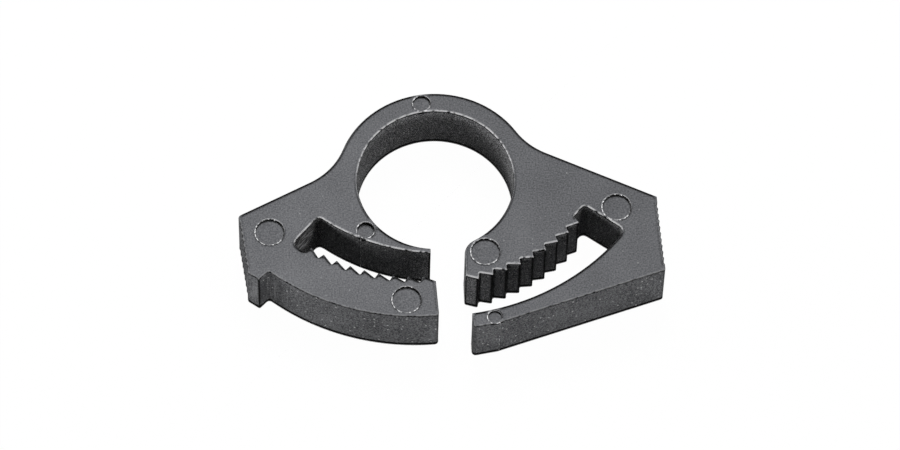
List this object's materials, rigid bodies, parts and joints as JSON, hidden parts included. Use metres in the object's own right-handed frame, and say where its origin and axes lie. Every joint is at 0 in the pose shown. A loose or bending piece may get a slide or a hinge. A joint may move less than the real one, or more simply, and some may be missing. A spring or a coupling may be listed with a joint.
{
  "type": "cable clamp",
  "caption": "One-piece plastic snap clamp: an open ring with two wings whose toothed jaws slide into slots in each other and lock round a cable bundle.",
  "frame": {"origin": "on the axis of the bore, in the flat face that the clamp lies on", "axes": "+Z along the bore through the thickness, +X along the wings, the crown of the ring towards +Y and the mouth towards -Y"},
  "size_m": [0.0538, 0.0338, 0.008],
  "materials": {
    "moulded_plastic": "dark grey nylon with a fine moulded grain"
  },
  "bodies": {
    "root": {"clamp": "moulded_plastic"}
  },
  "joints": []
}
